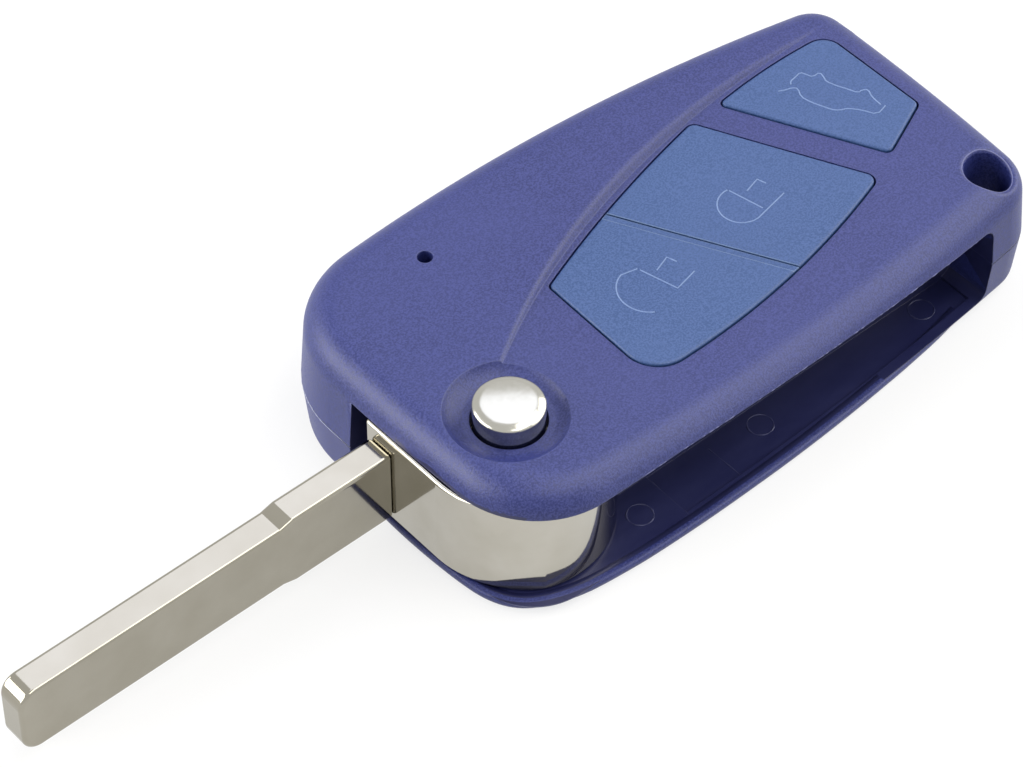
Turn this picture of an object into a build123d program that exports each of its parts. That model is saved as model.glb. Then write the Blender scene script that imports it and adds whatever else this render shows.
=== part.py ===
"""Folding key remote shell: a two-part moulded case, a blade that flips out of its side, and three keys.

Millimetres. The origin is on the axis that the blade turns about, at the case's flat back.
+X runs along the case to the keyring hole, +Y away from the blade's slot, +Z out of the key face.
The blade stands open along -X, and folds half a turn about +Z into the slot along the -Y side.
"""
from build123d import *
from math import atan, atan2, cos, degrees, pi, sin, sqrt, tan
import os

# Case, seen from above: how far its four bowed sides reach from the flip axis
front_reach = 9.75
back_reach = 65.2
near_reach = 13.6
far_reach = 29.5
front_bow_near = 0.85
front_bow_far = 0.45
near_bow_front = 0.7
near_bow_back = 3.1
back_bow_near = 0.6
back_bow_far = 0.4
far_bow_front = 1.5
far_bow_back = 6.0
near_crest = 7.0
far_crest = 8.0
corner_round_near_front = 8.0
corner_round_near_front_lip = 11.0
corner_round_near_back = 5.5
corner_round_far_back = 5.0
corner_round_far_front = 12.5

# Case, seen from the side
case_height = 16.8
parting_height = 7.0
upper_draft = 4.0
lower_draft = 5.5
top_rounding = 3.6
bottom_rounding = 2.0
least_rounding = 0.5
wall = 1.7
floor_thickness = 1.3
roof_thickness = 2.4
tongue_height = 0.8
tongue_thickness = 0.7
tongue_gap = 0.08
parting_groove = 0.12

# Valley that the keys lie in: a ridge bounds it, and it runs out to nothing at both of its ends
valley_depth = 0.9
valley_middle = 34.0
valley_half_length = 28.0
valley_ridge_reach = 17.0
valley_side_fall = 0.034
valley_margin = 3.0
ridge_start = (-20.0, -19.5)
ridge_middle = (34.0, 17.4)
ridge_end = (75.0, 15.3)
ridge_wall_slope = 52.0
ridge_crest_radius = 0.8
ridge_crest_strips = 3

# Flip axis: release button, the dish round it and the drum cavity
button_radius = 3.7
button_proud = 1.5
button_face_radius = 2.9
button_dome = 0.12
button_bevel = 0.35
button_rim = 0.25
button_travel = 1.6
button_hole_gap = 0.25
button_bore_radius = 2.5
button_bore_roof = 3.0
dish_radius = 6.7
dish_floor_radius = 4.7
dish_depth = 1.3
dish_hollow = 0.3
running_gap = 0.06
lug_reach = 5.0
lug_width = 2.4
lug_height = 2.8
lug_gap = 0.1
catch_depth = 1.1

# Hub
hub_half_width = 9.6
hub_corner_end = 4.0
hub_bore_radius = 5.3
hub_web = 2.3
hub_end_gap = 0.15
hub_edge = 0.35
hub_corner = 0.6
drum_gap = 0.3
blade_block_side = 0.9

# Blade
blade_near_side = 6.6
blade_thickness = 3.4
blade_neck_width = 9.4
blade_tip_width = 8.5
blade_neck_length = 12.6
blade_step_length = 1.6
blade_tip_gap = 1.4
blade_tip_rounding = 2.0
blade_edge = 0.45
blade_drop = 0.6
tang_length = 7.6
tang_gap = 0.05
tang_side_step = 0.5
tang_height_step = 1.2
blade_pin_radius = 1.0
blade_pin_bore = 0.55
blade_pin_slit = 0.35
blade_pin_inset = 4.2
blade_pin_sink = 0.5

# Slot that the folded blade lies in
slot_wall_face = 5.6
slot_wall = 1.4
slot_end_wall = 0.5
slot_end_rounding = 1.5
slot_floor_step = 0.3
slot_floor_start = 13.5
slot_rim = 1.2
slot_roof_front = 13.45
slot_roof_back = 12.2
opening_far_edge = 13.2
mouth_reach = -2.2

# Pivot post, spring seat and spring
post_radius = 4.5
post_height = 3.3
post_key_width = 3.4
seat_radius = 4.2
seat_thickness = 0.7
seat_plug_length = 1.5
seat_plug_gap = 0.05
spring_wire = 0.7
spring_coil_radius = 3.1
spring_turns = 4.0
spring_end_gap = 0.1

# Keyring hole
ring_hole_radius = 2.5
ring_hole_inset_back = 5.2
ring_hole_inset_near = 6.9
ring_hole_rounding = 0.45
ring_boss_wall = 1.7

# Light hole
light_hole_radius = 0.85
light_hole_place = (7.15, 21.25)

# Keys
key_gap = 0.22
key_travel = 0.5
key_proud = 0.2
key_edge = 0.25
key_drop = 0.35
key_flange = 0.8
key_flange_thickness = 0.7
key_flange_gap = 0.05
key_stem_radius = 2.2

# Key pads from above, counter-clockwise: each corner, its rounding, and how far the side after it bows
lock_pad = [
    ((14.4, 10.3), 0.5, 0.0),
    ((14.4, -5.2), 3.8, 1.6),
    ((50.6, -0.1), 1.0, 0.0),
    ((41.0, 18.1), 1.0, 0.7),
]
boot_pad = [
    ((45.1, 18.25), 0.5, 0.0),
    ((53.9, 1.55), 0.7, 0.0),
    ((60.8, 4.45), 0.7, 0.0),
    ((60.3, 18.0), 2.3, 0.5),
]
unlock_press = (23.0, 4.6)
lock_press = (38.5, 6.6)
boot_press = (54.6, 11.6)

# Split between the unlock key and the lock key, with a shallow step along the unlock key's side
key_split = [(25.5, 14.3), (35.9, -3.7)]
key_split_gap = 0.12
split_step_width = 0.75
split_step_depth = 0.12

# Rubber mat under the keys, held on posts that hang from the roof
mat_thickness = 0.9
mat_drop = 1.7
mat_edge_gap = 0.5
mat_dome_radius = 2.7
mat_dome_height = 0.4
mat_post_radius = 0.9
mat_post_gap = 0.05
mat_post_tail = 0.5
mat_posts = [(18.0, 15.6), (35.0, 20.2), (44.4, 15.5), (50.05, 5.0)]

# Rests on the lower half's walls for the board of a complete key
board_rest_reach = 1.6
board_rest_width = 1.4
board_rest_drop = 0.6
board_rests_far = (18.0, 46.0)
board_rest_back = 12.0

# Battery tray, which slides out through the slot's inner wall
cell_radius = 10.0
cell_height = 3.2
cell_gap = 0.15
tray_wall = 1.4
tray_floor = 0.8
tray_face_height = 5.0
tray_centre = 30.0
tray_side_gap = 0.15
tray_lift = 0.5
rail_width = 1.2
rail_gap = 0.05
rail_spread = 7.0
lock_inset = 2.05
lock_height = 1.95
lock_head_radius = 1.7
lock_head_depth = 0.8
lock_shaft_radius = 1.1
lock_slot_width = 0.6
lock_slot_depth = 0.45
lock_cam_reach = 3.0
lock_cam_width = 1.6
lock_cam_thickness = 1.0
lock_cam_gap = 0.1

# Worked out from the sizes above
floor_level = floor_thickness
roof_level = case_height - roof_thickness
blade_far_side = blade_near_side + blade_thickness
hub_radius = blade_far_side + blade_block_side
hub_bottom = floor_level + hub_end_gap
hub_top = slot_roof_front - hub_end_gap
drum_radius = hub_radius + drum_gap
button_top = case_height + button_proud
button_bottom = hub_top - hub_web - button_travel
lug_top = hub_top - running_gap
seat_top = post_height + seat_thickness
blade_middle_height = (hub_bottom + hub_top) / 2 - blade_drop
blade_pin_place = (-hub_half_width + blade_pin_inset, blade_near_side + blade_thickness / 2)
ring_hole_place = (back_reach - ring_hole_inset_back, -near_reach + ring_hole_inset_near)
slot_end = ring_hole_place[0] - ring_hole_radius - slot_end_wall
blade_tip = slot_end - blade_tip_gap
slot_wall_back = -slot_wall_face + slot_wall
valley_radius = (valley_half_length**2 + valley_depth**2) / (2 * valley_depth)
valley_region_low = case_height - valley_depth - top_rounding - valley_margin / 2
key_pocket_level = roof_level - key_flange_gap - key_drop - key_travel
key_bottom = roof_level - key_drop
mat_top = roof_level - mat_drop
mat_bottom = mat_top - mat_thickness
stem_bottom = mat_top + mat_dome_height + key_travel + key_flange_gap
pocket_radius = cell_radius + cell_gap
tray_half = pocket_radius + tray_wall
tray_bottom = floor_level + tray_lift
tray_top = tray_bottom + tray_face_height
cell_middle = slot_wall_back + 2 * cell_gap + pocket_radius
lock_place = (tray_centre + tray_half - lock_inset, tray_bottom + lock_height)
outside = 60.0
nowhere = 0.01


def block(low, high):
    """A box given by its lowest and highest corners."""
    size = [high[i] - low[i] for i in range(3)]
    return Pos(*low) * Box(*size, align=(Align.MIN, Align.MIN, Align.MIN))


def rod(radius, low, high, place=(0.0, 0.0)):
    """An upright cylinder between two heights."""
    align = (Align.CENTER, Align.CENTER, Align.MIN)
    return Pos(place[0], place[1], low) * Cylinder(radius, high - low, align=align)


def level_rod(radius, near, far, place):
    """A cylinder lying along Y, placed by its X and its height."""
    align = (Align.CENTER, Align.CENTER, Align.MIN)
    return Pos(place[0], near, place[1]) * Rot(-90, 0, 0) * Cylinder(radius, far - near, align=align)


def case_plan(inset=0.0, near_front_rounding=corner_round_near_front):
    """The case seen from above at its parting line, or that outline drawn inwards."""
    near_front = (-front_reach + front_bow_near, -near_reach + near_bow_front)
    near_back = (back_reach - back_bow_near, -near_reach + near_bow_back)
    far_back = (back_reach - back_bow_far, far_reach - far_bow_back)
    far_front = (-front_reach + front_bow_far, far_reach - far_bow_front)
    middle_x = (back_reach - front_reach) / 2
    middle_y = (far_reach - near_reach) / 2
    sides = [
        ThreePointArc(near_front, (middle_x - near_crest, -near_reach), near_back),
        ThreePointArc(near_back, (back_reach, middle_y), far_back),
        ThreePointArc(far_back, (middle_x - far_crest, far_reach), far_front),
        ThreePointArc(far_front, (-front_reach, middle_y), near_front),
    ]
    face = Pos(sides[0].arc_center) * Circle(sides[0].radius - inset)
    for side in sides[1:]:
        face &= Pos(side.arc_center) * Circle(side.radius - inset)
    roundings = [
        (near_front, near_front_rounding),
        (near_back, corner_round_near_back),
        (far_back, corner_round_far_back),
        (far_front, corner_round_far_front),
    ]
    for place, radius in roundings:
        corner = face.vertices().sort_by_distance(Vector(*place))[0]
        face = fillet(corner, max(radius - inset, least_rounding))
    return face


def drafted(inset, narrow_level, draft, near_front_rounding):
    """The case's outline carried from its parting line to another level, leaning inwards."""
    lean = abs(narrow_level - parting_height) * tan(draft * pi / 180)
    wide = Pos(0, 0, parting_height) * case_plan(inset, near_front_rounding)
    narrow = Pos(0, 0, narrow_level) * case_plan(inset + lean, near_front_rounding)
    return loft([wide, narrow], ruled=True)


def groove_ring(near_front_rounding):
    """What cuts the fine groove that runs round the case where its halves meet."""
    around = Rectangle(8 * outside, 8 * outside) - case_plan(parting_groove, near_front_rounding)
    return extrude(Pos(0, 0, parting_height - parting_groove) * around, 2 * parting_groove)


def rounded_top(form, rounding):
    """A form with the edge round its topmost face rounded."""
    return fillet(form.faces().sort_by(Axis.Z)[-1].edges(), rounding)


def rounded_mouth(form, level):
    """A form with the edge of the keyring hole rounded at its outer end, the end nearest to a level."""
    place = Vector(*ring_hole_place)
    mouth = []
    for edge in form.edges():
        points = [edge @ t for t in (0, 0.5, 1)]
        reach = max((Vector(point.X, point.Y) - place).length for point in points)
        is_level = abs(edge.tangent_at(0.5).Z) < 0.7
        if is_level and reach < ring_hole_radius + nowhere and abs(points[1].Z - level) < top_rounding:
            mouth.append(edge)
    return fillet(mouth, ring_hole_rounding)


def upper_inside():
    """The room under the upper half's roof, drafted and rounded like its outside."""
    form = drafted(wall, roof_level, upper_draft, corner_round_near_front_lip)
    return rounded_top(form, top_rounding - wall)


def upper_outside():
    """The upper half's outer form: its rounded top, and the valley sunk in it with the same rounding."""
    tall = drafted(0.0, case_height + valley_margin, upper_draft, corner_round_near_front_lip)
    above = block((-outside, -outside, case_height), (2 * outside, outside, 2 * outside))
    flat = rounded_top(tall - above, top_rounding)
    sunk = rounded_top(tall - valley_tool(), top_rounding)
    form = flat - (valley_region() - sunk)
    form -= groove_ring(corner_round_near_front_lip)
    form -= rod(ring_hole_radius, parting_height - 1, case_height + 1, ring_hole_place)
    return rounded_mouth(form, case_height)


def lower_inside():
    """The room over the lower half's floor, which narrows like its outside."""
    form = drafted(wall, floor_level, lower_draft, corner_round_near_front)
    return fillet(form.faces().sort_by(Axis.Z)[0].edges(), bottom_rounding / 4)


def lower_outside():
    """The lower half's outer form, which narrows towards the back face."""
    form = drafted(0.0, 0.0, lower_draft, corner_round_near_front)
    form = fillet(form.faces().sort_by(Axis.Z)[0].edges(), bottom_rounding)
    form -= groove_ring(corner_round_near_front)
    form -= rod(ring_hole_radius, -1, parting_height + 1, ring_hole_place)
    return rounded_mouth(form, 0.0)


def valley_tool(lift=0.0):
    """What sinks the top: a wide drum lying across the case, tilted down towards the near side."""
    tilt = atan(valley_side_fall)
    height = case_height - valley_depth + lift + valley_radius / cos(tilt)
    drum = Rot(90 + degrees(tilt), 0, 0) * Cylinder(valley_radius, 6 * outside)
    return Pos(valley_middle, valley_ridge_reach, height) * drum


def ridge_side(level, shift):
    """The valley's side of the ridge line at one level, with the line moved across the case."""
    start, middle, end = [(p[0], p[1] + shift) for p in (ridge_start, ridge_middle, ridge_end)]
    corner_a = (end[0], -outside)
    corner_b = (start[0], -outside)
    edges = [
        ThreePointArc(start, middle, end),
        Line(end, corner_a),
        Line(corner_a, corner_b),
        Line(corner_b, start),
    ]
    return Pos(0, 0, level) * make_face(edges)


def valley_region():
    """The part of the top that may sink, bounded by the ridge's leaning wall and its rounded crest."""
    slope = ridge_wall_slope * pi / 180
    angles = [slope * i / ridge_crest_strips for i in range(ridge_crest_strips + 1)]
    crest = [(ridge_crest_radius * sin(a), ridge_crest_radius * (1 - cos(a))) for a in angles]
    wall_run, wall_drop = crest[-1]
    foot_run = wall_run + (valley_depth - wall_drop) / tan(slope)
    low_drop = case_height - valley_region_low
    low_run = wall_run + (low_drop - wall_drop) / tan(slope)
    profile = [(0.0, -valley_margin)] + crest + [(low_run, low_drop)]
    return loft([ridge_side(case_height - drop, foot_run - run) for run, drop in profile], ruled=True)


def bay_space(low, high, inset=0.0):
    """The room behind the drum and beside the slot, clear of the mouth and the keyring boss."""
    room_wall = slot_wall + inset
    space = block((-outside, slot_wall_back + inset, low), (2 * outside, outside, high))
    space -= rod(drum_radius + room_wall, low - 1, high + 1)
    space -= rod(ring_hole_radius + ring_boss_wall + inset, low - 1, high + 1, ring_hole_place)
    mouth = (mouth_reach + room_wall, opening_far_edge + room_wall)
    space -= block((-outside, -outside, low - 1), (mouth[0], mouth[1], high + 1))
    return space


def mouth_space():
    """The opening in the front that the hub and the blade's root stand in."""
    return block((-outside, -outside, floor_level), (mouth_reach, opening_far_edge, slot_roof_front))


def drum_space():
    """The round room that the hub turns in."""
    return rod(drum_radius, floor_level, slot_roof_front)


def slot_space():
    """The blade's slot in both halves, open along the near side, its roof falling to the back."""
    corners = [
        (-outside, slot_roof_front),
        (drum_radius, slot_roof_front),
        (slot_end, slot_roof_back),
        (slot_end, floor_level),
        (-outside, floor_level),
    ]
    face = make_face(Polyline(*corners, close=True))
    ends = [v for v in face.vertices() if abs(v.X - slot_end) < nowhere]
    face = fillet(ends, slot_end_rounding)
    return Pos(0, -slot_wall_face, 0) * extrude(Plane.XZ * face, outside)


def slot_floor_recess():
    """The slot's floor, a little deeper than the rim that runs along its open side."""
    recess = block(
        (slot_floor_start, -outside, floor_level - slot_floor_step),
        (slot_end - slot_rim, -slot_wall_face, floor_level + 1),
    )
    return recess & extrude(case_plan(slot_rim + bottom_rounding / 3), outside)


def dish():
    """The round dish that the release button stands in."""
    floor = case_height - dish_depth
    above = case_height + dish_depth
    side = ((dish_radius + dish_floor_radius) / 2, floor + dish_hollow * dish_depth)
    outline = [
        Line((0, floor), (dish_floor_radius, floor)),
        ThreePointArc((dish_floor_radius, floor), side, (dish_radius, case_height)),
        Line((dish_radius, case_height), (dish_radius, above)),
        Line((dish_radius, above), (0, above)),
        Line((0, above), (0, floor)),
    ]
    return revolve(Plane.XZ * make_face(outline), Axis.Z)


def lug_bar(grow, low, high):
    """The bar across the flip axis whose ends are the button's two lugs, or a way for them."""
    reach = lug_reach + grow
    side = lug_width / 2 + grow
    return block((-reach, -side, low), (reach, side, high))


def pad_outline(pad, grow=0.0):
    """A key pad's outline, its sides straight or bowed between rounded corners, or one drawn outwards."""
    sides = []
    for i, (start, _, bow) in enumerate(pad):
        end = pad[(i + 1) % len(pad)][0]
        line = Line(start, end)
        if bow:
            outward = (line % 0).rotate(Axis.Z, -90)
            line = ThreePointArc(start, (line @ 0.5) + outward * bow, end)
        sides.append(line)
    face = make_face(sides)
    for corner, rounding, _ in pad:
        face = fillet(face.vertices().sort_by_distance(Vector(*corner))[0], rounding)
    if grow:
        face = offset(face, grow)
    return face


def split_strip(width, shift=0.0):
    """An upright wall along the split between the unlock and lock keys, moved towards the unlock key."""
    start = Vector(*key_split[0])
    end = Vector(*key_split[1])
    middle = (start + end) * 0.5
    turn = degrees(atan2(end.Y - start.Y, end.X - start.X))
    strip = Pos(0, -shift, 0) * Box(2 * outside, width, 4 * outside)
    return Pos(middle.X, middle.Y, 0) * Rot(0, 0, turn) * strip


def nearest_solid(shape, place, level):
    """The solid of a split shape that a key's pressing point lies on."""
    return shape.solids().sort_by_distance(Vector(place[0], place[1], level))[0]


def make_pad(pad):
    """A key pad before it is split, its top sunk with the valley and its rim rounded."""
    solid = extrude(Pos(0, 0, key_bottom) * pad_outline(pad), case_height + key_proud + 1 - key_bottom)
    solid -= valley_tool(key_proud)
    return rounded_top(solid, key_edge)


def make_key(pad, press, is_split):
    """A key: a plate sunk with the valley, a flange that stays under the roof and a stem."""
    plate = make_pad(pad)
    flange_top = roof_level - key_flange_gap
    flange_low = flange_top - key_flange_thickness
    flange = extrude(Pos(0, 0, flange_low) * pad_outline(pad, key_flange), key_flange_thickness)
    flange &= bay_space(flange_low - 1, flange_top + 1, mat_edge_gap)
    flange &= extrude(case_plan(2 * wall + mat_edge_gap), outside)
    if is_split:
        step = split_strip(split_step_width, (key_split_gap + split_step_width) / 2)
        plate -= step & valley_tool(key_proud - split_step_depth)
        plate = nearest_solid(plate - split_strip(key_split_gap), press, key_bottom)
        flange = nearest_solid(flange - split_strip(key_split_gap), press, flange_low)
    key = Part() + plate + flange
    key += rod(key_stem_radius, stem_bottom, key_bottom + nowhere, press)
    return key


def make_keypad_mat():
    """The rubber sheet under the keys, with a dome under each and a hole for each post."""
    sheet = extrude(Pos(0, 0, mat_bottom) * case_plan(2 * wall + mat_edge_gap), mat_thickness)
    sheet &= bay_space(mat_bottom - 1, mat_top + 1, mat_edge_gap)
    mat = max(sheet.solids(), key=lambda piece: piece.volume)
    mat = Part() + mat
    for press in (unlock_press, lock_press, boot_press):
        mat += rod(mat_dome_radius, mat_bottom, mat_top + mat_dome_height, press)
    for place in mat_posts:
        mat -= rod(mat_post_radius + mat_post_gap, mat_bottom - 1, mat_top + 1, place)
    return mat


def tongue(grow=0.0):
    """The rib along the parting line that keys the two halves together."""
    outer = wall - tongue_thickness - grow
    low = parting_height - (nowhere if grow else 0.5)
    high = parting_height + tongue_height + grow
    ring = extrude(Pos(0, 0, low) * (case_plan(outer) - case_plan(wall + grow)), high - low)
    far_part = block((-outside, opening_far_edge + slot_wall - grow, 0), (2 * outside, outside, outside))
    back_part = block((slot_end + slot_wall - grow, -outside, 0), (2 * outside, outside, outside))
    return ring & (far_part + back_part)


def make_upper_case():
    case = upper_outside() - (upper_inside() & bay_space(parting_height - 1, roof_level + 1))
    case -= drum_space()
    case -= mouth_space()
    case -= slot_space()
    case -= dish()
    case -= rod(button_radius + button_hole_gap, slot_roof_front - 1, case_height + 1)
    case -= lug_bar(lug_gap, slot_roof_front - nowhere, slot_roof_front + catch_depth)
    case -= rod(light_hole_radius, roof_level - 1, case_height + 1, light_hole_place)
    for pad in (lock_pad, boot_pad):
        case -= extrude(Pos(0, 0, key_pocket_level) * pad_outline(pad, key_gap), outside)
    case -= tongue(tongue_gap)
    for place in mat_posts:
        case += rod(mat_post_radius, mat_bottom - mat_post_tail, roof_level + nowhere, place)
    return case


def tray_plan():
    """The battery tray from above: square at its face, round behind the cell."""
    front = Rectangle(2 * tray_half, cell_middle + slot_wall_face)
    front = Pos(tray_centre, (cell_middle - slot_wall_face) / 2) * front
    return front + Pos(tray_centre, cell_middle) * Circle(tray_half)


def board_rests():
    """Ledges round the lower half's inside, kept only where the board rests on them."""
    height = parting_height - board_rest_drop
    ledge = extrude(case_plan() - case_plan(wall + board_rest_reach), height)
    side = board_rest_width / 2
    strips = block((slot_end, board_rest_back - side, 0), (2 * outside, board_rest_back + side, height))
    for x in board_rests_far:
        strips += block((x - side, 0, 0), (x + side, outside, height))
    return ledge & strips


def make_lower_case():
    inside = lower_inside() & bay_space(0, parting_height + 1)
    case = lower_outside() - inside
    case -= drum_space()
    case -= mouth_space()
    case -= slot_space()
    case -= slot_floor_recess()
    case += rod(post_radius, floor_level - nowhere, post_height)
    key_half = post_key_width / 2
    case -= block((-key_half, -key_half, floor_level), (key_half, key_half, post_height + 1))
    case += tongue()
    case += inside & board_rests()
    half = tray_half + tray_side_gap
    case -= block(
        (tray_centre - half, -slot_wall_face - 1, tray_bottom - tray_side_gap),
        (tray_centre + half, slot_wall_back + 1, parting_height + 1),
    )
    for side in (-1, 1):
        rail_x = tray_centre + side * rail_spread
        case += block(
            (rail_x - rail_width / 2, slot_wall_back - nowhere, floor_level - nowhere),
            (rail_x + rail_width / 2, cell_middle + rail_spread, tray_bottom - rail_gap),
        )
        near_x = tray_centre + side * (tray_half + tray_side_gap)
        far_x = near_x + side * rail_width
        guide_start = slot_wall_back + lock_cam_gap * 3 + lock_cam_thickness + 1
        case += block(
            (min(near_x, far_x), guide_start, floor_level - nowhere),
            (max(near_x, far_x), cell_middle, tray_top - 1),
        )
    return case


def make_battery_tray():
    """A shallow cup for the coin cell behind a plain face that closes the window."""
    tray = extrude(Pos(0, 0, tray_bottom) * tray_plan(), tray_floor + cell_height + cell_gap)
    tray += block(
        (tray_centre - tray_half, -slot_wall_face, tray_bottom),
        (tray_centre + tray_half, slot_wall_back, tray_top),
    )
    tray -= rod(pocket_radius, tray_bottom + tray_floor, tray_top + 1, (tray_centre, cell_middle))
    cam_front = slot_wall_back
    cam_back = cam_front + lock_cam_thickness + 2 * lock_cam_gap
    sweep = lock_cam_reach + lock_cam_gap
    tray -= block(
        (lock_place[0] - lock_cam_width, cam_front, lock_place[1] - lock_cam_width / 2 - lock_cam_gap),
        (lock_place[0] + sweep + 1, cam_back, tray_top + 1),
    )
    tray -= level_rod(lock_shaft_radius + running_gap, -slot_wall_face - 1, cam_back + 1, lock_place)
    head_back = -slot_wall_face + lock_head_depth
    tray -= level_rod(lock_head_radius + running_gap, -slot_wall_face - 1, head_back, lock_place)
    return tray


def make_tray_lock():
    """The quarter-turn lock: a slotted head, a shaft through the tray's face and a cam behind it."""
    front = -slot_wall_face
    cam_front = slot_wall_back + lock_cam_gap
    cam_back = cam_front + lock_cam_thickness
    lock = level_rod(lock_head_radius, front, front + lock_head_depth - running_gap, lock_place)
    lock += level_rod(lock_shaft_radius, front + nowhere, cam_back, lock_place)
    side = lock_cam_width / 2
    lock += block(
        (lock_place[0] - side, cam_front, lock_place[1] - side),
        (lock_place[0] + lock_cam_reach, cam_back, lock_place[1] + side),
    )
    slot_side = lock_slot_width / 2
    lock -= block(
        (lock_place[0] - lock_head_radius - 1, front - 1, lock_place[1] - slot_side),
        (lock_place[0] + lock_head_radius + 1, front + lock_slot_depth, lock_place[1] + slot_side),
    )
    return lock


def hub_plan():
    """The hub from above: a drum with two flats, two eased corners and a block for the blade."""
    flat = hub_half_width
    face = Circle(hub_radius) & Rectangle(2 * flat, 3 * hub_radius)
    inset = flat - hub_corner_end
    end_height = sqrt(hub_radius**2 - hub_corner_end**2)
    ease_radius = (inset**2 + end_height**2) / (2 * inset)
    corner_size = 2 * hub_radius
    corner = Pos(-hub_corner_end - corner_size / 2, -corner_size / 2) * Rectangle(corner_size, corner_size)
    corner -= Pos(ease_radius - flat, 0) * Circle(ease_radius)
    face -= corner
    face -= Rot(0, 0, 180) * corner
    face += Pos(-flat / 2, hub_radius / 2) * Rectangle(flat, hub_radius)
    return face


def tang_block(grow):
    """The blade's tang, or the pocket in the hub that it is pushed into."""
    low = blade_middle_height - blade_neck_width / 2 + tang_height_step
    high = blade_middle_height + blade_neck_width / 2 - tang_height_step
    start = -hub_half_width - nowhere
    return block(
        (start - grow, blade_near_side + tang_side_step - grow, low - grow),
        (start + tang_length + grow, blade_far_side - tang_side_step + grow, high + grow),
    )


def make_hub():
    hub = extrude(Pos(0, 0, hub_bottom) * hub_plan(), hub_top - hub_bottom)
    hub = fillet(hub.edges().filter_by(Axis.Z), hub_corner)
    hub = fillet(hub.faces().filter_by(Axis.Z).edges(), hub_edge)
    hub -= rod(post_radius + running_gap, hub_bottom - 1, post_height + running_gap)
    hub -= rod(hub_bore_radius, post_height, hub_top - hub_web)
    hub -= rod(button_radius + running_gap, post_height, hub_top + 1)
    hub -= lug_bar(lug_gap, hub_top - hub_web - 1, hub_top + 1)
    hub -= tang_block(tang_gap)
    hub -= rod(blade_pin_radius, hub_bottom - 1, hub_top + 1, blade_pin_place)
    return hub


def make_blade():
    """The uncut blade: a wider neck, a short ramp down to the plain blank, and the tang in the hub."""
    neck = blade_neck_width / 2
    tip = blade_tip_width / 2
    root = -hub_half_width
    step = root - blade_neck_length
    ramp = step - blade_step_length
    corners = [
        (root, -neck),
        (root, neck),
        (step, neck),
        (ramp, tip),
        (-blade_tip, tip),
        (-blade_tip, -tip),
        (ramp, -tip),
        (step, -neck),
    ]
    face = make_face(Polyline(*corners, close=True))
    ends = [v for v in face.vertices() if abs(v.X + blade_tip) < nowhere]
    face = fillet(ends, blade_tip_rounding)
    blade = extrude(Plane.XZ * face, -blade_thickness)
    blade = Pos(0, blade_near_side, blade_middle_height) * blade
    sides = blade.faces().sort_by(Axis.Y)
    rims = sides[0].edges() + sides[-1].edges() + blade.faces().sort_by(Axis.X)[-1].edges().filter_by(Axis.Y)
    blade = fillet(rims, blade_edge)
    blade += tang_block(0.0)
    blade -= rod(blade_pin_radius, hub_bottom - 1, hub_top + 1, blade_pin_place)
    return blade


def make_blade_pin():
    """The slit roll pin that holds the tang in the hub."""
    low = hub_bottom + blade_pin_sink
    high = hub_top - blade_pin_sink
    pin = rod(blade_pin_radius, low, high, blade_pin_place)
    pin -= rod(blade_pin_bore, low - 1, high + 1, blade_pin_place)
    x, y = blade_pin_place
    side = blade_pin_slit / 2
    pin -= block((x, y - side, low - 1), (x + 2 * blade_pin_radius, y + side, high + 1))
    return pin


def make_release_button():
    """The button: a bevelled cap, hollow from below, with the two lugs that key it to the hub."""
    face_level = button_top - button_dome
    edge_level = face_level - button_bevel
    dome_middle = (button_face_radius / 2, button_top - button_dome / 4)
    outline = [
        ThreePointArc((0, button_top), dome_middle, (button_face_radius, face_level)),
        Line((button_face_radius, face_level), (button_radius, edge_level)),
        Line((button_radius, edge_level), (button_radius, button_bottom)),
        Line((button_radius, button_bottom), (button_bore_radius, button_bottom)),
        Line((button_bore_radius, button_bottom), (button_bore_radius, button_top - button_bore_roof)),
        Line((button_bore_radius, button_top - button_bore_roof), (0, button_top - button_bore_roof)),
        Line((0, button_top - button_bore_roof), (0, button_top)),
    ]
    face = make_face(outline)
    rim = face.vertices().sort_by_distance(Vector(button_radius, edge_level))[0]
    button = revolve(Plane.XZ * fillet(rim, button_rim), Axis.Z)
    lugs = lug_bar(0.0, lug_top - lug_height, lug_top)
    lugs -= rod(button_radius - 0.3, lug_top - lug_height - 1, lug_top + 1)
    return button + lugs


def make_spring_seat():
    """The disc that the spring stands on, keyed into the post by a square plug."""
    seat = rod(seat_radius, post_height, seat_top)
    side = post_key_width / 2 - seat_plug_gap
    seat += block((-side, -side, post_height - seat_plug_length), (side, side, post_height + nowhere))
    return seat


def make_flip_spring():
    """The coil spring that turns the hub and lifts the button."""
    low = seat_top + spring_end_gap + spring_wire / 2
    high = button_bottom - spring_end_gap - spring_wire / 2
    path = Pos(0, 0, low) * Helix((high - low) / spring_turns, high - low, spring_coil_radius)
    start = path @ 0
    section = Plane(origin=start, z_dir=path % 0) * Circle(spring_wire / 2)
    return sweep(section, path, is_frenet=True)


def build_parts():
    return {
        "upper_case": make_upper_case(),
        "lower_case": make_lower_case(),
        "keypad_mat": make_keypad_mat(),
        "unlock_button": make_key(lock_pad, unlock_press, True),
        "lock_button": make_key(lock_pad, lock_press, True),
        "boot_button": make_key(boot_pad, boot_press, False),
        "hub": make_hub(),
        "blade": make_blade(),
        "blade_pin": make_blade_pin(),
        "release_button": make_release_button(),
        "spring_seat": make_spring_seat(),
        "flip_spring": make_flip_spring(),
        "battery_tray": make_battery_tray(),
        "tray_lock": make_tray_lock(),
    }


os.makedirs("parts", exist_ok=True)
for name, solid in build_parts().items():
    export_step(solid, f"parts/{name}.step")
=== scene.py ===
"""Looks for the folding key remote shell: materials, fine detail, soft light and the photograph's camera.

Metres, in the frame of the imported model: the flip axis is Z, the blade lies open along -X.
Places on the case are written in millimetres and multiplied by MM.
"""

from math import atan2, cos, hypot, pi, radians, sin
from random import Random

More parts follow.
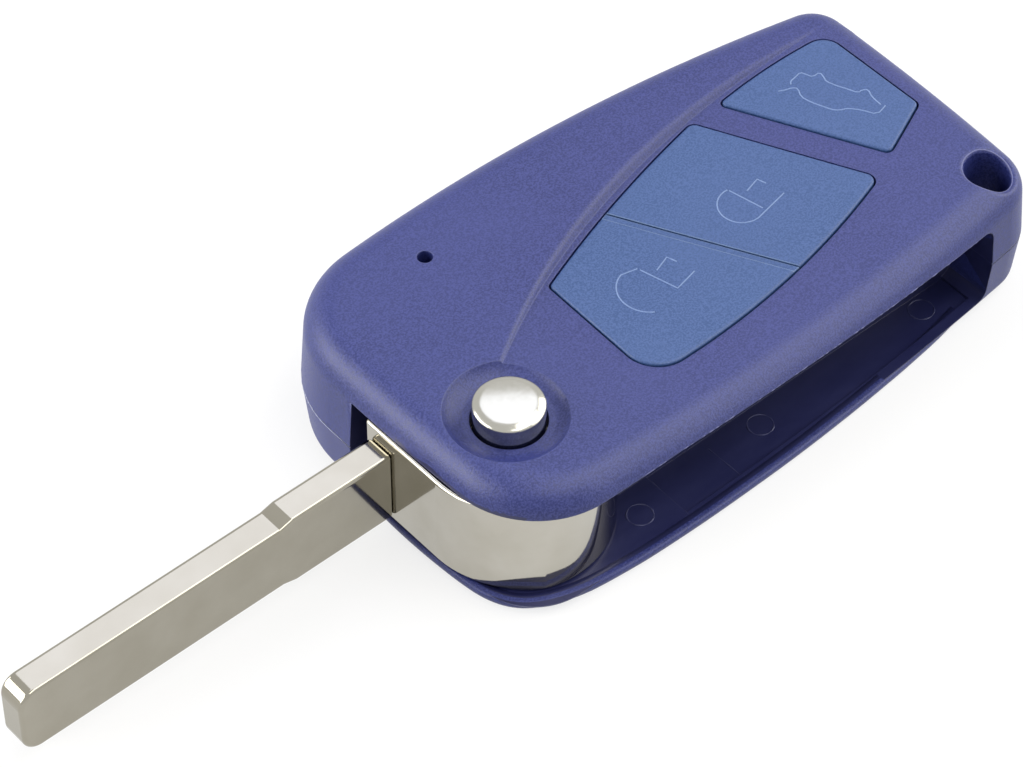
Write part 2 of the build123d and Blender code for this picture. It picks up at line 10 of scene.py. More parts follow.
import bmesh
import bpy
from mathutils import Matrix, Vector


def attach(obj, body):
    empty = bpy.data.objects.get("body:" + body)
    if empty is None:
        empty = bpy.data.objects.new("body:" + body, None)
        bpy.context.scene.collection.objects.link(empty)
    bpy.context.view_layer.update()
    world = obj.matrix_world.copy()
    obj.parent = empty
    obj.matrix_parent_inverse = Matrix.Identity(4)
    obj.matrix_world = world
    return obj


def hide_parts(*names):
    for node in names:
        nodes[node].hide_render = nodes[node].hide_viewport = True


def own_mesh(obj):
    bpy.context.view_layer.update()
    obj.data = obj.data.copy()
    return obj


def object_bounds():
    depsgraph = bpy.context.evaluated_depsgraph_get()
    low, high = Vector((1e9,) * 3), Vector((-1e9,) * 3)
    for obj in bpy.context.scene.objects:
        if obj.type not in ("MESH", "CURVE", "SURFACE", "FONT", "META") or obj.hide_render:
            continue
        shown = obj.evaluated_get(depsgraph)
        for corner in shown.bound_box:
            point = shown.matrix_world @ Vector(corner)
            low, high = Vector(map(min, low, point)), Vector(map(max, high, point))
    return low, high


MM = 0.001

# Camera, solved from the case's straight lines in the photograph
LENS = 150.0
SENSOR = 36.0
VIEW_AZIMUTH = 41.0
VIEW_ELEVATION = 48.5
EYE = (-0.18083, -0.20846, 0.33266)
NEAREST, FARTHEST = 0.01, 20.0

# Where the case's walls are, to tell its outer skin from its inner faces
CASE_MIDDLE = (27.0, 8.0)
SLOT_WALL = 5.6
DRUM_RADIUS = 11.2
LOWEST_TOP_FACE = 13.9
RING_HOLE = (60.0, -6.7)
RING_HOLE_SKIN = 3.2
PARTING_HEIGHT = 7.0

# How near to a wall a face still belongs to it, and what share of a normal makes it face one way
SLOT_WALL_REACH = 0.3
DRUM_REACH = 0.2
FACING_SHARE = 0.5
NEARLY_LEVEL = 0.9

# Outer edge of the moulded lip along the slot's open side, seen from above, from back to front
RIM_EDGE = [
    (54.0, -10.4), (50.0, -11.25), (46.0, -11.8), (43.3, -12.15), (37.0, -12.78), (27.8, -13.36),
    (19.3, -13.55), (13.7, -13.58), (8.4, -13.46), (5.7, -13.33), (0.84, -12.87), (-1.43, -12.42),
    (-3.52, -11.76), (-5.43, -10.9), (-7.02, -9.7), (-8.2, -8.1), (-9.0, -5.97), (-9.4, -3.31),
    (-9.62, -0.53), (-9.76, 2.36), (-9.8, 5.47), (-9.7, 9.0), (-9.3, 12.0), (-8.6, 13.6),
]
# The lip's section: how far in from that edge, and how high
RIM_SECTION = [
    (1.3, 1.32), (0.7, 1.32), (0.2, 1.32), (0.06, 1.26), (0.0, 1.1), (0.0, 0.75), (0.1, 0.42), (0.34, 0.16),
    (0.8, 0.02), (1.3, 0.02),
]

# How deep the lip's back end dives into the case, over what length, and how low the lip may reach
LIP_END_SINK = 0.3
LIP_END_RUN = 14.0
LIP_LOWEST = 0.02

# Flash along the edge over the slot: its line, where its rays start, and where it lies from what they find
LIP_FLASH_REACH = (6.0, 55.0)
LIP_FLASH_STEPS = 160
LIP_FLASH_WIRE = 0.06
LIP_FLASH_SEED = 5
RAY_START_Y = -30.0
UPPER_WALL_HEIGHT = 14.2
SLOT_MIDDLE_HEIGHT = 5.0
BEHIND_WALL = 0.3
OVER_EDGE = 0.04
EDGE_INSET = 0.03
EDGE_RAISE = 0.02

# Flash along the parting line: from the end wall by the blade round the far corner to the far wall
PARTING_STEP = 0.5
PARTING_END = (-12.0, 13.9)
PARTING_END_STEPS = 28
PARTING_FAR = (-12.0, 33.0)
PARTING_FAR_STEPS = 20
PARTING_PROBE_DROP = 0.2
PARTING_LINE_DROP = 0.03
PARTING_WIRE = 0.07
PARTING_TAPER = 8
CASE_SPINE = (8.0, 50.0)

# Raised lines: how round they and the flash are, a line's own radius, and how deep its middle lies
LINE_ROUNDING = 2
FLASH_ROUNDING = 1
SIGN_WIRE = 0.09
SIGN_SINK = 0.03
RING_EDGE_RADIUS = 2.7
RING_EDGE_WIRE = 0.09
RING_EDGE_SINK = 0.06

# Marks that ejector pins and mould inserts leave on the slot's floor
EJECTOR_RADIUS = 1.4
EJECTOR_WIRE = 0.07
EJECTOR_PLACES = [(9.7, -9.0), (27.3, -8.0), (51.1, -7.4)]
FLOOR_SEAM_WIRE = 0.05
FLOOR_SEAMS = [[(21.05, -6.9), (21.15, -12.6)], [(13.7, -6.4), (13.45, -12.6)]]
FLOOR_MARK_SINK = 0.02

# Roundings of real edges that the normals stand for; on grained plastic the rounding also sets how wide the
# painted edge highlight is
GRAINED_ROUNDING = 0.22
SMOOTH_ROUNDING = 0.12
PLATED_ROUNDING = 0.08
BUTTON_ROUNDING = 0.4

# Depths of the fine surface marks
GRAIN_DEPTH = 0.08
POLISH_DEPTH = 0.02
RIPPLE_DEPTH = 0.05
DUST_DEPTH = 0.03

# Cosines between which an edge's rounding counts as flat and as round, which set where the painted edge
# highlight fades in
FLAT_COSINE = 0.985
ROUND_COSINE = 0.85

# Places of the colour sockets on the node that mixes colours
FIRST_COLOR, SECOND_COLOR, MIXED_COLOR = 6, 7, 2

# Light: the fill on matt surfaces, the floor, and where the lamps aim
FILL_LIGHT = 0.27
FLOOR_SIZE = 6.0
FLOOR_DROP = 0.02
FLOOR_GLOW = 0.75
FLOOR_LIT = (0.6, 0.6, 0.62)
FLOOR_SEEN = (0.93, 0.93, 0.93)
FLOOR_ROUGHNESS = 0.9
WHITE = (1.0, 1.0, 1.0, 1.0)
LAMP_AIM = (0.02, 0.0, 0.01)
COOL_WHITE = (0.96, 1.0, 1.22)
WARM_WHITE = (1.0, 0.99, 0.95)
# Name, place, size, power and colour of each lamp
LAMPS = [
    ("top_box", (0.2515, 0.322, 0.802), (0.55, 0.55), 1.25, COOL_WHITE),
    ("overhead_box", (0.20, -0.26, 0.80), (1.1, 0.34), 4.2, WARM_WHITE),
    ("left_box", (-0.56, 0.38, 0.33), (0.8, 0.5), 7.4, WARM_WHITE),
    ("right_box", (0.60, -0.24, 0.30), (0.9, 0.5), 4.5, WARM_WHITE),
]

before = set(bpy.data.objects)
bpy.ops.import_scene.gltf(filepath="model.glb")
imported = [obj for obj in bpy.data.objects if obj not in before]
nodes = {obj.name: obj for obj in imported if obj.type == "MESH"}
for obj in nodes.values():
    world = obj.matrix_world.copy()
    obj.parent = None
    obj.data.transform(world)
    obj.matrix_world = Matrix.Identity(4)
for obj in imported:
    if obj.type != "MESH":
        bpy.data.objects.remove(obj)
cad_low, cad_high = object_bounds()


class Nodes:
    """A material's node tree, with short calls to add nodes and link them."""

    def __init__(self, name):
        self.material = bpy.data.materials.new(name)
        self.material.use_nodes = True
        self.tree = self.material.node_tree
        self.shader = self.tree.nodes["Principled BSDF"]
        self.point = self.add("ShaderNodeTexCoord").outputs["Object"]

    def add(self, kind, **settings):
        node = self.tree.nodes.new(kind)
        for key, value in settings.items():
            setattr(node, key, value)
        return node

    def link(self, source, target):
        self.tree.links.new(source, target)

    def noise(self, scale, detail=2.0, roughness=0.5, stretch=None):
        node = self.add("ShaderNodeTexNoise")
        node.inputs["Scale"].default_value = scale
        node.inputs["Detail"].default_value = detail
        node.inputs["Roughness"].default_value = roughness
        source = self.point
        if stretch:
            mapping = self.add("ShaderNodeMapping")
            mapping.inputs["Scale"].default_value = stretch
            self.link(self.point, mapping.inputs["Vector"])
            source = mapping.outputs["Vector"]
        self.link(source, node.inputs["Vector"])
        return node.outputs["Fac"]

    def spread(self, value, low, high, out_low, out_high):
        node = self.add("ShaderNodeMapRange")
        for socket, number in zip(node.inputs[1:5], (low, high, out_low, out_high)):
            socket.default_value = number
        self.link(value, node.inputs["Value"])
        return node.outputs["Result"]

    def blend_colors(self, factor, first, second):
        node = self.add("ShaderNodeMix", data_type="RGBA")
        self.link(factor, node.inputs["Factor"])
        for place, color in ((FIRST_COLOR, first), (SECOND_COLOR, second)):
            if isinstance(color, tuple):
                node.inputs[place].default_value = (*color, 1.0)
            else:
                self.link(color, node.inputs[place])
        return node.outputs[MIXED_COLOR]

    def soft_edges(self, radius):
        """Normals that turn smoothly over sharp edges, as over the small rounding of a real edge."""
        node = self.add("ShaderNodeBevel", samples=6)
        node.inputs["Radius"].default_value = radius
        return node.outputs["Normal"]

    def edge_highlight_mask(self, rounded):
        """One on a rounded edge, none on the flat beside it: the mask for the painted edge highlight."""
        plain = self.add("ShaderNodeNewGeometry").outputs["Normal"]
        dot = self.add("ShaderNodeVectorMath", operation="DOT_PRODUCT")
        self.link(rounded, dot.inputs[0])
        self.link(plain, dot.inputs[1])
        return self.spread(dot.outputs["Value"], FLAT_COSINE, ROUND_COSINE, 0.0, 1.0)

    def bump(self, height, strength, distance, normal=None):
        node = self.add("ShaderNodeBump")
        node.inputs["Strength"].default_value = strength
        node.inputs["Distance"].default_value = distance
        self.link(height, node.inputs["Height"])
        if normal:
            self.link(normal, node.inputs["Normal"])
        return node.outputs["Normal"]

    def finish(self, color=None, roughness=None, normal=None, **sockets):
        names = {"metallic": "Metallic", "specular": "Specular IOR Level"}
        for value, socket in ((color, "Base Color"), (roughness, "Roughness"), (normal, "Normal")):
            if value is None:
                continue
            if isinstance(value, tuple):
                self.shader.inputs[socket].default_value = (*value, 1.0)
            elif isinstance(value, float):
                self.shader.inputs[socket].default_value = value
            else:
                self.link(value, self.shader.inputs[socket])
        for key, value in sockets.items():
            self.shader.inputs[names[key]].default_value = value
        return self.material


def grained_plastic(name, dark, light, edge, grain_scale, bump):
    """Spark-textured moulded plastic: a fine random grain with paler tops, and a painted highlight on the
    edges.
    """
    made = Nodes(name)
    grain = made.noise(grain_scale, 3.0, 0.65)
    broad = made.noise(60.0, 2.0)
    speckle = made.spread(grain, 0.42, 0.58, 0.0, 1.0)
    shade = made.blend_colors(speckle, dark, light)
    tint = made.spread(broad, 0.35, 0.65, 0.0, 0.25)
    shade = made.blend_colors(tint, shade, light)
    rounded = made.soft_edges(GRAINED_ROUNDING * MM)
    # Painted highlight: a paler colour laid on every rounded edge
    shade = made.blend_colors(made.edge_highlight_mask(rounded), shade, edge)
    rough = made.spread(grain, 0.4, 0.6, 0.36, 0.5)
    normal = made.bump(grain, bump, GRAIN_DEPTH * MM, rounded)
    return made.finish(shade, rough, normal, specular=0.48)


def smooth_plastic(name, dark, light, roughness):
    """The mould's plain inner faces: smooth, darker, with faint flow marks."""
    made = Nodes(name)
    flow = made.noise(90.0, 4.0, 0.6, stretch=(1.0, 3.0, 3.0))
    shade = made.blend_colors(made.spread(flow, 0.3, 0.7, 0.0, 1.0), dark, light)
    rough = made.spread(flow, 0.3, 0.7, roughness - 0.05, roughness + 0.08)
    polish = made.noise(1500.0, 2.0)
    normal = made.bump(polish, 0.08, POLISH_DEPTH * MM, made.soft_edges(SMOOTH_ROUNDING * MM))
    return made.finish(shade, rough, normal, specular=0.5)


def plated_metal(name, dark, light, roughness, wave_scale, wave, rounding=PLATED_ROUNDING):
    """Bright plate over a polished casting: a faint ripple and cloudy gloss."""
    made = Nodes(name)
    cloud = made.noise(150.0, 3.0)
    shade = made.blend_colors(made.spread(cloud, 0.35, 0.65, 0.0, 1.0), dark, light)
    fine = made.noise(2500.0, 2.0)
    rough = made.spread(fine, 0.3, 0.7, roughness * 0.85, roughness * 1.2)
    ripple = made.noise(wave_scale, 1.0)
    normal = made.bump(ripple, wave, RIPPLE_DEPTH * MM, made.soft_edges(rounding * MM))
    return made.finish(shade, rough, normal, metallic=1.0)


def rubber(name, dark, light):
    """Matt moulded rubber with a little dust on it."""
    made = Nodes(name)
    dust = made.noise(900.0, 3.0)
    shade = made.blend_colors(made.spread(dust, 0.35, 0.7, 0.0, 1.0), dark, light)
    return made.finish(shade, 0.75, made.bump(dust, 0.2, DUST_DEPTH * MM), specular=0.3)


# The edge colours of these plastics are painted highlights on their rounded edges
CASE_GRAIN = grained_plastic(
    "case_grain",
    dark=(0.008, 0.014, 0.103), light=(0.036, 0.046, 0.188), edge=(0.062, 0.076, 0.23),
    grain_scale=4600.0, bump=0.5,
)
KEY_GRAIN = grained_plastic(
    "key_grain",
    dark=(0.018, 0.055, 0.172), light=(0.048, 0.093, 0.244), edge=(0.20, 0.29, 0.47),
    grain_scale=4800.0, bump=0.35,
)
# Paler than the keys all over: a painted highlight on the raised sign lines, with a painted edge highlight
# as well
SIGN_HIGHLIGHT = grained_plastic(
    "sign_painted_highlight",
    dark=(0.13, 0.20, 0.40), light=(0.17, 0.25, 0.47), edge=(0.20, 0.29, 0.50),
    grain_scale=3400.0, bump=0.2,
)
# Paler than the case: a painted highlight for the keyring hole's edge and for the flash over the slot
EDGE_HIGHLIGHT = smooth_plastic("edge_painted_highlight", dark=(0.09, 0.10, 0.24), light=(0.13, 0.14, 0.30), roughness=0.4)
# Paler than the slot's floor: a painted highlight on the real ejector rings and insert seams
WITNESS_MARK_HIGHLIGHT = smooth_plastic(
    "witness_mark_highlight", dark=(0.025, 0.028, 0.085), light=(0.055, 0.06, 0.15), roughness=0.4
)
# Much paler than the case: a painted highlight on the real flash along the parting line
PARTING_FLASH_HIGHLIGHT = smooth_plastic("parting_flash_highlight", dark=(0.30, 0.32, 0.50), light=(0.42, 0.44, 0.60), roughness=0.35)
CASE_INSIDE = smooth_plastic(
    "case_inside", dark=(0.013, 0.015, 0.064), light=(0.021, 0.024, 0.088), roughness=0.32
)
# Both nickels are darker than real nickel, as painted shade for the dark surroundings they reflect; the
# blade is painted darker still
HUB_NICKEL_SHADED = plated_metal(
    "hub_nickel_painted_shade", dark=(0.44, 0.42, 0.365), light=(0.49, 0.47, 0.42),
    roughness=0.07, wave_scale=110.0, wave=0.06,
)
BLADE_NICKEL_SHADED = plated_metal(
    "blade_nickel_painted_shade", dark=(0.325, 0.305, 0.25), light=(0.355, 0.335, 0.28),
    roughness=0.08, wave_scale=160.0, wave=0.06,
)
BUTTON_CHROME = plated_metal(
    "button_chrome", dark=(0.45, 0.44, 0.39), light=(0.48, 0.47, 0.42),
    roughness=0.15, wave_scale=90.0, wave=0.03, rounding=BUTTON_ROUNDING,
)
SPRING_STEEL = plated_metal(
    "spring_steel", dark=(0.40, 0.40, 0.41), light=(0.52, 0.52, 0.53),
    roughness=0.3, wave_scale=900.0, wave=0.2,
)
MAT_RUBBER = rubber("mat_rubber_look", dark=(0.035, 0.035, 0.04), light=(0.07, 0.07, 0.075))

LOOKS = {
    "unlock_button": KEY_GRAIN,
    "lock_button": KEY_GRAIN,
    "boot_button": KEY_GRAIN,
    "keypad_mat": MAT_RUBBER,
    "hub": HUB_NICKEL_SHADED,
    "blade": BLADE_NICKEL_SHADED,
    "blade_pin": SPRING_STEEL,
    "release_button": BUTTON_CHROME,
    "spring_seat": CASE_INSIDE,
    "flip_spring": SPRING_STEEL,
    "battery_tray": CASE_INSIDE,
    "tray_lock": CASE_INSIDE,
}

UPWARD = Vector((0.0, 0.0, 1.0))
DOWNWARD = Vector((0.0, 0.0, -1.0))
INTO_SLOT = Vector((0.0, 1.0, 0.0))


def is_inside_face(node, centre, normal):
    """Whether a face of a case half is one of the mould's smooth inner faces."""
    x, y, z = centre / MM
    if hypot(x - RING_HOLE[0], y - RING_HOLE[1]) < RING_HOLE_SKIN:
        return False
    outward = Vector((x - CASE_MIDDLE[0], y - CASE_MIDDLE[1]))
    faces_in = outward.dot(normal.to_2d()) < 0
    if node == "lower_case" and normal.z > FACING_SHARE:
        return True
    if node == "upper_case" and normal.z < -FACING_SHARE:
        return True
    if z > LOWEST_TOP_FACE:
        return False
    if abs(y + SLOT_WALL) < SLOT_WALL_REACH and normal.y < -FACING_SHARE:
        return True
    if Vector((x, y)).length < DRUM_RADIUS + DRUM_REACH and abs(normal.z) < FACING_SHARE:
        return True
    return faces_in and abs(normal.z) < NEARLY_LEVEL


def give_materials():
    """Each node's look. The case halves have one for the outer skin and one for the inner faces."""
    for name, node in nodes.items():
        mesh = node.data
        mesh.materials.clear()
        if name in LOOKS:
            mesh.materials.append(LOOKS[name])
            continue
        mesh.materials.append(CASE_GRAIN)
        mesh.materials.append(CASE_INSIDE)
        for face in mesh.polygons:
            face.material_index = int(is_inside_face(name, face.center, face.normal))


def level_under(node, x, y):
    """The height of a node's top surface at one place, in metres."""
    hit, place, _, _ = nodes[node].ray_cast(Vector((x, y, cad_high[2] + 1.0)), DOWNWARD)
    if not hit:
        raise ValueError(f"nothing of {node} lies under {x}, {y}")
    return place.z


def arc_through(start, middle, end, steps=16):
    """Points along the arc through three places, in millimetres."""
    (ax, ay), (bx, by), (cx, cy) = start, middle, end
    turn = 2 * (ax * (by - cy) + bx * (cy - ay) + cx * (ay - by))
    a2, b2, c2 = ax * ax + ay * ay, bx * bx + by * by, cx * cx + cy * cy
    ox = (a2 * (by - cy) + b2 * (cy - ay) + c2 * (ay - by)) / turn
    oy = (a2 * (cx - bx) + b2 * (ax - cx) + c2 * (bx - ax)) / turn
    radius = hypot(ax - ox, ay - oy)
    first, between, last = (atan2(y - oy, x - ox) for x, y in (start, middle, end))
    full = (last - first) % (2 * pi)
    if (between - first) % (2 * pi) > full:
        full -= 2 * pi
    angles = [first + full * i / steps for i in range(steps + 1)]
    return [(ox + radius * cos(a), oy + radius * sin(a)) for a in angles]


def finer(points, step=0.5):
    """A line's points with more between them, so that it follows a curved surface."""
    out = [points[0]]
    for (ax, ay), (bx, by) in zip(points, points[1:]):
        parts = max(1, round(hypot(bx - ax, by - ay) / step))
        out += [(ax + (bx - ax) * i / parts, ay + (by - ay) * i / parts) for i in range(1, parts + 1)]
    return out


def circle(x, y, radius, steps):
    """Points round a circle, in millimetres."""
    turns = [2 * pi * i / steps for i in range(steps)]
    return [(x + radius * cos(a), y + radius * sin(a)) for a in turns]


def smooth_path(points, rounds=2):
    """An open line with its corners cut, so that it bends smoothly."""
    for _ in range(rounds):
        cut = [points[0]]
        for (ax, ay), (bx, by) in zip(points, points[1:]):
            cut.append((0.75 * ax + 0.25 * bx, 0.75 * ay + 0.25 * by))
            cut.append((0.25 * ax + 0.75 * bx, 0.25 * ay + 0.75 * by))
        points = cut + [points[-1]]
    return points


def make_coil_spring():
    """The flip spring, which on the real key shortens as the release button is pressed onto it; here a copy
    of its mesh rides the case unchanged, in place of the hidden plain node.
    """
    plain = nodes["flip_spring"]
    coil = bpy.data.objects.new("coil_spring", plain.data.copy())
    bpy.context.scene.collection.objects.link(coil)
    coil.matrix_world = plain.matrix_world.copy()
    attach(coil, "case")
    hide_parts("flip_spring")
    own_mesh(coil)


def line_piece(name, strokes, wire, rounding, material, body, is_closed=False):
    """A piece of thin round lines. Each stroke lists places in metres, with their share of the radius."""
    curve = bpy.data.curves.new(name, "CURVE")
    curve.dimensions = "3D"
    curve.bevel_depth = wire * MM
    curve.bevel_resolution = rounding
    curve.use_fill_caps = True
    for stroke in strokes:
        spline = curve.splines.new("POLY")
        spline.points.add(len(stroke) - 1)
        spline.use_cyclic_u = is_closed
        for target, (place, share) in zip(spline.points, stroke):
            target.co = (*place, 1.0)
            target.radius = share
    curve.materials.append(material)
    piece = bpy.data.objects.new(name, curve)
    bpy.context.scene.collection.objects.link(piece)
    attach(piece, body)
    return piece


def raised_lines(name, lines, node, body, wire, sink, material, is_closed=False, uneven=0.0):
    """Thin half-buried lines that lie on a node's top surface and move with its body."""
    strokes = []
    for line in lines:
        stroke = []
        for i, (x, y) in enumerate(line):
            z = level_under(node, x * MM, y * MM)
            stroke.append(((x * MM, y * MM, z - sink * MM), 1.0 + uneven * sin(0.9 * i + x)))
        strokes.append(stroke)
    return line_piece(name, strokes, wire, LINE_ROUNDING, material, body, is_closed)


def make_signs():
    """A closed padlock, an open padlock and a car with its boot up, as thin lines on the keys; their paler
    colour is a painted highlight.
    """
    closed = [
        arc_through((37.4, 8.7), (34.6, 6.5), (37.2, 3.8)) + finer([(37.2, 3.8), (41.6, 4.6)])[1:],
        finer([(37.5, 8.5), (38.5, 4.5)]),
        finer([(38.9, 7.3), (40.8, 7.8), (41.1, 6.8)]),
    ]
    opened = [
        arc_through((20.3, 1.0), (18.7, 4.2), (21.0, 6.9)) + finer([(21.0, 6.9), (22.9, 6.5)])[1:],
        finer([(23.0, 6.2), (24.3, 1.95), (27.2, 2.6)]),
        finer([(24.3, 5.1), (26.3, 5.8), (26.7, 4.7)]),
    ]
    roof = [
        (52.6, 15.21), (52.9, 15.6), (53.5, 15.65), (54.52, 15.84), (54.82, 15.14), (55.04, 14.47),
        (56.09, 14.49), (55.91, 13.61), (55.68, 13.1), (56.08, 11.87), (56.58, 10.87), (57.08, 9.63),
        (57.63, 9.69), (58.19, 9.26), (57.76, 8.31), (57.7, 6.86),
    ]
    underside = [
        (50.96, 15.4), (51.67, 15.0), (52.34, 14.81), (52.79, 14.33), (52.2, 13.27), (52.46, 12.01),
        (52.86, 11.03), (53.37, 9.8), (53.88, 9.19), (54.73, 8.82), (55.68, 7.66), (56.47, 6.09),
        (57.97, 6.46),
    ]
    car = [finer(smooth_path(roof, 1)), finer(smooth_path(underside, 1))]
    for name, lines, node, body in (
        ("lock_sign", closed, "lock_button", "lock_key"),
        ("unlock_sign", opened, "unlock_button", "unlock_key"),
        ("boot_sign", car, "boot_button", "boot_key"),
    ):
        sign = raised_lines(name, lines, node, body, SIGN_WIRE, SIGN_SINK, SIGN_HIGHLIGHT)


def make_ring_hole_highlight():
    """A thin ring round the keyring hole's mouth, paler than the case: a painted highlight on the hole's
    edge.
    """
    lines = [circle(*RING_HOLE, RING_EDGE_RADIUS, 48)]
    edge = raised_lines(
        "ring_hole_highlight", lines, "upper_case", "case", RING_EDGE_WIRE, RING_EDGE_SINK, EDGE_HIGHLIGHT,
        is_closed=True,
    )


def make_ejector_rings():
    """The witness rings that ejector pins leave on the slot's floor, paler than the floor as a painted
    highlight.
    """
    lines = [circle(x, y, EJECTOR_RADIUS, 32) for x, y in EJECTOR_PLACES]
    rings = raised_lines(
        "ejector_rings", lines, "lower_case", "case", EJECTOR_WIRE, FLOOR_MARK_SINK, WITNESS_MARK_HIGHLIGHT,
        is_closed=True, uneven=0.5,
    )


def make_floor_seams():
    """The two witness lines that the mould's inserts leave across the slot's floor, paler as a painted
    highlight.
    """
    lines = [finer(seam) for seam in FLOOR_SEAMS]
    seams = raised_lines(
        "floor_seams", lines, "lower_case", "case", FLOOR_SEAM_WIRE, FLOOR_MARK_SINK, WITNESS_MARK_HIGHLIGHT,
        uneven=0.4,
    )


def make_lip_flash():
    """Uneven flash along the lower edge of the upper half, over the slot, in a pale colour that is a
    painted highlight.
    """
    draw = Random(LIP_FLASH_SEED)
    upper = nodes["upper_case"]
    first, last = LIP_FLASH_REACH
    points = []
    for i in range(LIP_FLASH_STEPS + 1):
        x = first + (last - first) * i / LIP_FLASH_STEPS
        outside = Vector((x, RAY_START_Y, UPPER_WALL_HEIGHT)) * MM
        hit, wall, _, _ = upper.ray_cast(outside, INTO_SLOT)
        under = Vector((x * MM, wall.y + BEHIND_WALL * MM, SLOT_MIDDLE_HEIGHT * MM))
        found, roof, _, _ = upper.ray_cast(under, UPWARD)
        if hit and found:
            beside = Vector((x * MM, RAY_START_Y * MM, roof.z + OVER_EDGE * MM))
            _, edge, _, _ = upper.ray_cast(beside, INTO_SLOT)
            points.append((x * MM, edge.y + EDGE_INSET * MM, roof.z + EDGE_RAISE * MM))
    # Mostly thin, with a thick spot here and there
    stroke = [(point, 0.5 + 1.2 * draw.random() ** 4) for point in points]
    flash = line_piece("lip_flash", [stroke], LIP_FLASH_WIRE, FLASH_ROUNDING, EDGE_HIGHLIGHT, "case")


def make_slot_lip():
    """The moulded lip that runs along the slot's open side and round under the hub to the blade."""
    path = smooth_path(RIM_EDGE)
    vertices, faces = [], []
    for i, (x, y) in enumerate(path):
        (ax, ay), (bx, by) = path[max(i - 1, 0)], path[min(i + 1, len(path) - 1)]
        along = Vector((bx - ax, by - ay)).normalized()
        inward = Vector((along.y, -along.x))
        sunk = LIP_END_SINK * max(0.0, 1.0 - hypot(x - path[0][0], y - path[0][1]) / LIP_END_RUN)
        for depth, z in RIM_SECTION:
            level = max(z - sunk, LIP_LOWEST)
            vertices.append(((x + inward.x * depth) * MM, (y + inward.y * depth) * MM, level * MM))
    count = len(RIM_SECTION)
    for i in range(len(path) - 1):
        for k in range(count):
            a, b = i * count + k, i * count + (k + 1) % count
            faces.append((a, b, b + count, a + count))
    faces.append(tuple(range(count))[::-1])
    faces.append(tuple(range((len(path) - 1) * count, len(path) * count)))
    mesh = bpy.data.meshes.new("slot_lip")
    mesh.from_pydata(vertices, [], faces)
    mesh.validate()
    edit = bmesh.new()
    edit.from_mesh(mesh)
    bmesh.ops.recalc_face_normals(edit, faces=edit.faces)
    edit.to_mesh(mesh)
    edit.free()
    mesh.materials.append(CASE_GRAIN)
    mesh.materials.append(CASE_INSIDE)
    for face in mesh.polygons:
        is_side = len(face.vertices) == 4
        face.use_smooth = is_side
        face.material_index = int(is_side and all(vertex % count in (0, 1) for vertex in face.vertices))
    lip = bpy.data.objects.new("slot_lip", mesh)
    bpy.context.scene.collection.objects.link(lip)
    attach(lip, "case")


def wall_point(x, y, z):
    """Where the case's outer wall is, looking from outside towards the case's middle line."""
    low, high = CASE_SPINE
    inner = Vector((min(max(x, low), high), CASE_MIDDLE[1], z)) * MM
    start = Vector((x, y, z)) * MM
    hit, place, _, _ = nodes["lower_case"].ray_cast(start, (inner - start).normalized())
    return place / MM if hit else None


def make_flash_line():
    """The fine flash left along the parting line where the two moulds met, in a pale colour that is a
    painted highlight.
    """
    (end_x, end_y), (far_x, far_y) = PARTING_END, PARTING_FAR
    places = [(end_x, end_y + PARTING_STEP * i) for i in range(PARTING_END_STEPS)]
    places += [(far_x + PARTING_STEP * i, far_y) for i in range(PARTING_FAR_STEPS)]
    points = [wall_point(x, y, PARTING_HEIGHT - PARTING_PROBE_DROP) for x, y in places]
    points = [point for point in points if point is not None]
    stroke = []
    for i, point in enumerate(points):
        taper = min(1.0, min(i + 1, len(points) - i) / PARTING_TAPER)
        place = (point.x * MM, point.y * MM, (PARTING_HEIGHT - PARTING_LINE_DROP) * MM)
        stroke.append((place, (0.75 + 0.25 * cos(7.0 * point.y)) * taper))
    flash = line_piece("parting_flash_highlight", [stroke], PARTING_WIRE, FLASH_ROUNDING, PARTING_FLASH_HIGHLIGHT, "case")


def make_lamp(name, place, size, power, color):
    """A soft box at one place that faces the key."""
    data = bpy.data.lights.new(name, "AREA")
    data.shape = "RECTANGLE"
    data.size, data.size_y = size
    data.energy = power
    data.color = color
    lamp_object = bpy.data.objects.new(name, data)
    bpy.context.scene.collection.objects.link(lamp_object)
    lamp_object.location = place
    direction = Vector(LAMP_AIM) - Vector(place)
    lamp_object.rotation_mode = "QUATERNION"
    lamp_object.rotation_quaternion = direction.to_track_quat("-Z", "Y")


def camera_ray_factor(tree):
    """One where a camera, mirror or glass ray looks, none where the surface lights others."""
    path = tree.nodes.new("ShaderNodeLightPath")
    total = path.outputs["Is Camera Ray"]
    for kind in ("Is Glossy Ray", "Is Transmission Ray"):
        either = tree.nodes.new("ShaderNodeMath")
        either.operation = "MAXIMUM"
        tree.links.new(total, either.inputs[0])
        tree.links.new(path.outputs[kind], either.inputs[1])
        total = either.outputs[0]
    return total


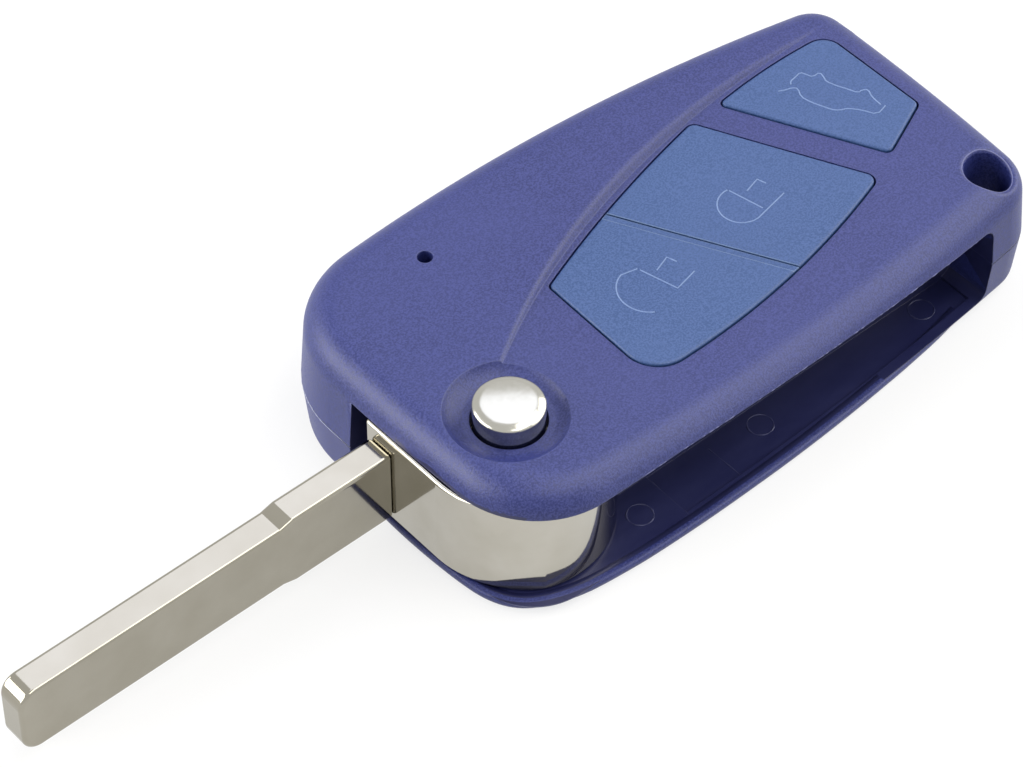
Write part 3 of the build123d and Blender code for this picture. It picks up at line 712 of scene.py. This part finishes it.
def make_world(fill):
    """Plain white to the camera and in reflections, and a softer fill light on matt surfaces."""
    world = bpy.data.worlds.new("studio")
    bpy.context.scene.world = world
    world.use_nodes = True
    tree = world.node_tree
    background = tree.nodes["Background"]
    background.inputs["Color"].default_value = WHITE
    strength = tree.nodes.new("ShaderNodeMapRange")
    strength.inputs["To Min"].default_value = fill
    strength.inputs["To Max"].default_value = 1.0
    tree.links.new(camera_ray_factor(tree), strength.inputs["Value"])
    tree.links.new(strength.outputs["Result"], background.inputs["Strength"])


def make_floor(size, glow):
    """A pale floor that keeps a soft shadow."""
    bpy.ops.mesh.primitive_plane_add(size=size, location=(0.0, 0.0, -FLOOR_DROP * MM))
    floor = bpy.context.active_object
    floor.name = "floor"
    made = Nodes("floor_paper")
    seen = camera_ray_factor(made.tree)
    made.finish(made.blend_colors(seen, FLOOR_LIT, FLOOR_SEEN), FLOOR_ROUGHNESS, specular=0.0)
    white = made.add("ShaderNodeEmission")
    white.inputs["Color"].default_value = WHITE
    mix = made.add("ShaderNodeMixShader")
    share = made.add("ShaderNodeMath", operation="MULTIPLY")
    share.inputs[1].default_value = glow
    made.link(seen, share.inputs[0])
    made.link(share.outputs[0], mix.inputs[0])
    made.link(made.shader.outputs[0], mix.inputs[1])
    made.link(white.outputs[0], mix.inputs[2])
    made.link(mix.outputs[0], made.tree.nodes["Material Output"].inputs["Surface"])
    floor.data.materials.append(made.material)


def make_camera():
    """The photograph's camera."""
    data = bpy.data.cameras.new("photo_camera")
    data.lens = LENS
    data.sensor_width = SENSOR
    data.clip_start = NEAREST
    data.clip_end = FARTHEST
    camera = bpy.data.objects.new("photo_camera", data)
    bpy.context.scene.collection.objects.link(camera)
    camera.location = EYE
    around, down = radians(VIEW_AZIMUTH), radians(VIEW_ELEVATION)
    forward = Vector((sin(around) * cos(down), cos(around) * cos(down), -sin(down)))
    camera.rotation_mode = "QUATERNION"
    camera.rotation_quaternion = forward.to_track_quat("-Z", "Y")
    bpy.context.scene.camera = camera


give_materials()
make_camera()
make_coil_spring()
make_signs()
make_ring_hole_highlight()
make_ejector_rings()
make_floor_seams()
make_lip_flash()
make_slot_lip()
make_flash_line()
make_world(FILL_LIGHT)
make_floor(FLOOR_SIZE, FLOOR_GLOW)
for lamp in LAMPS:
    make_lamp(*lamp)

bpy.context.scene.view_settings.view_transform = "Standard"
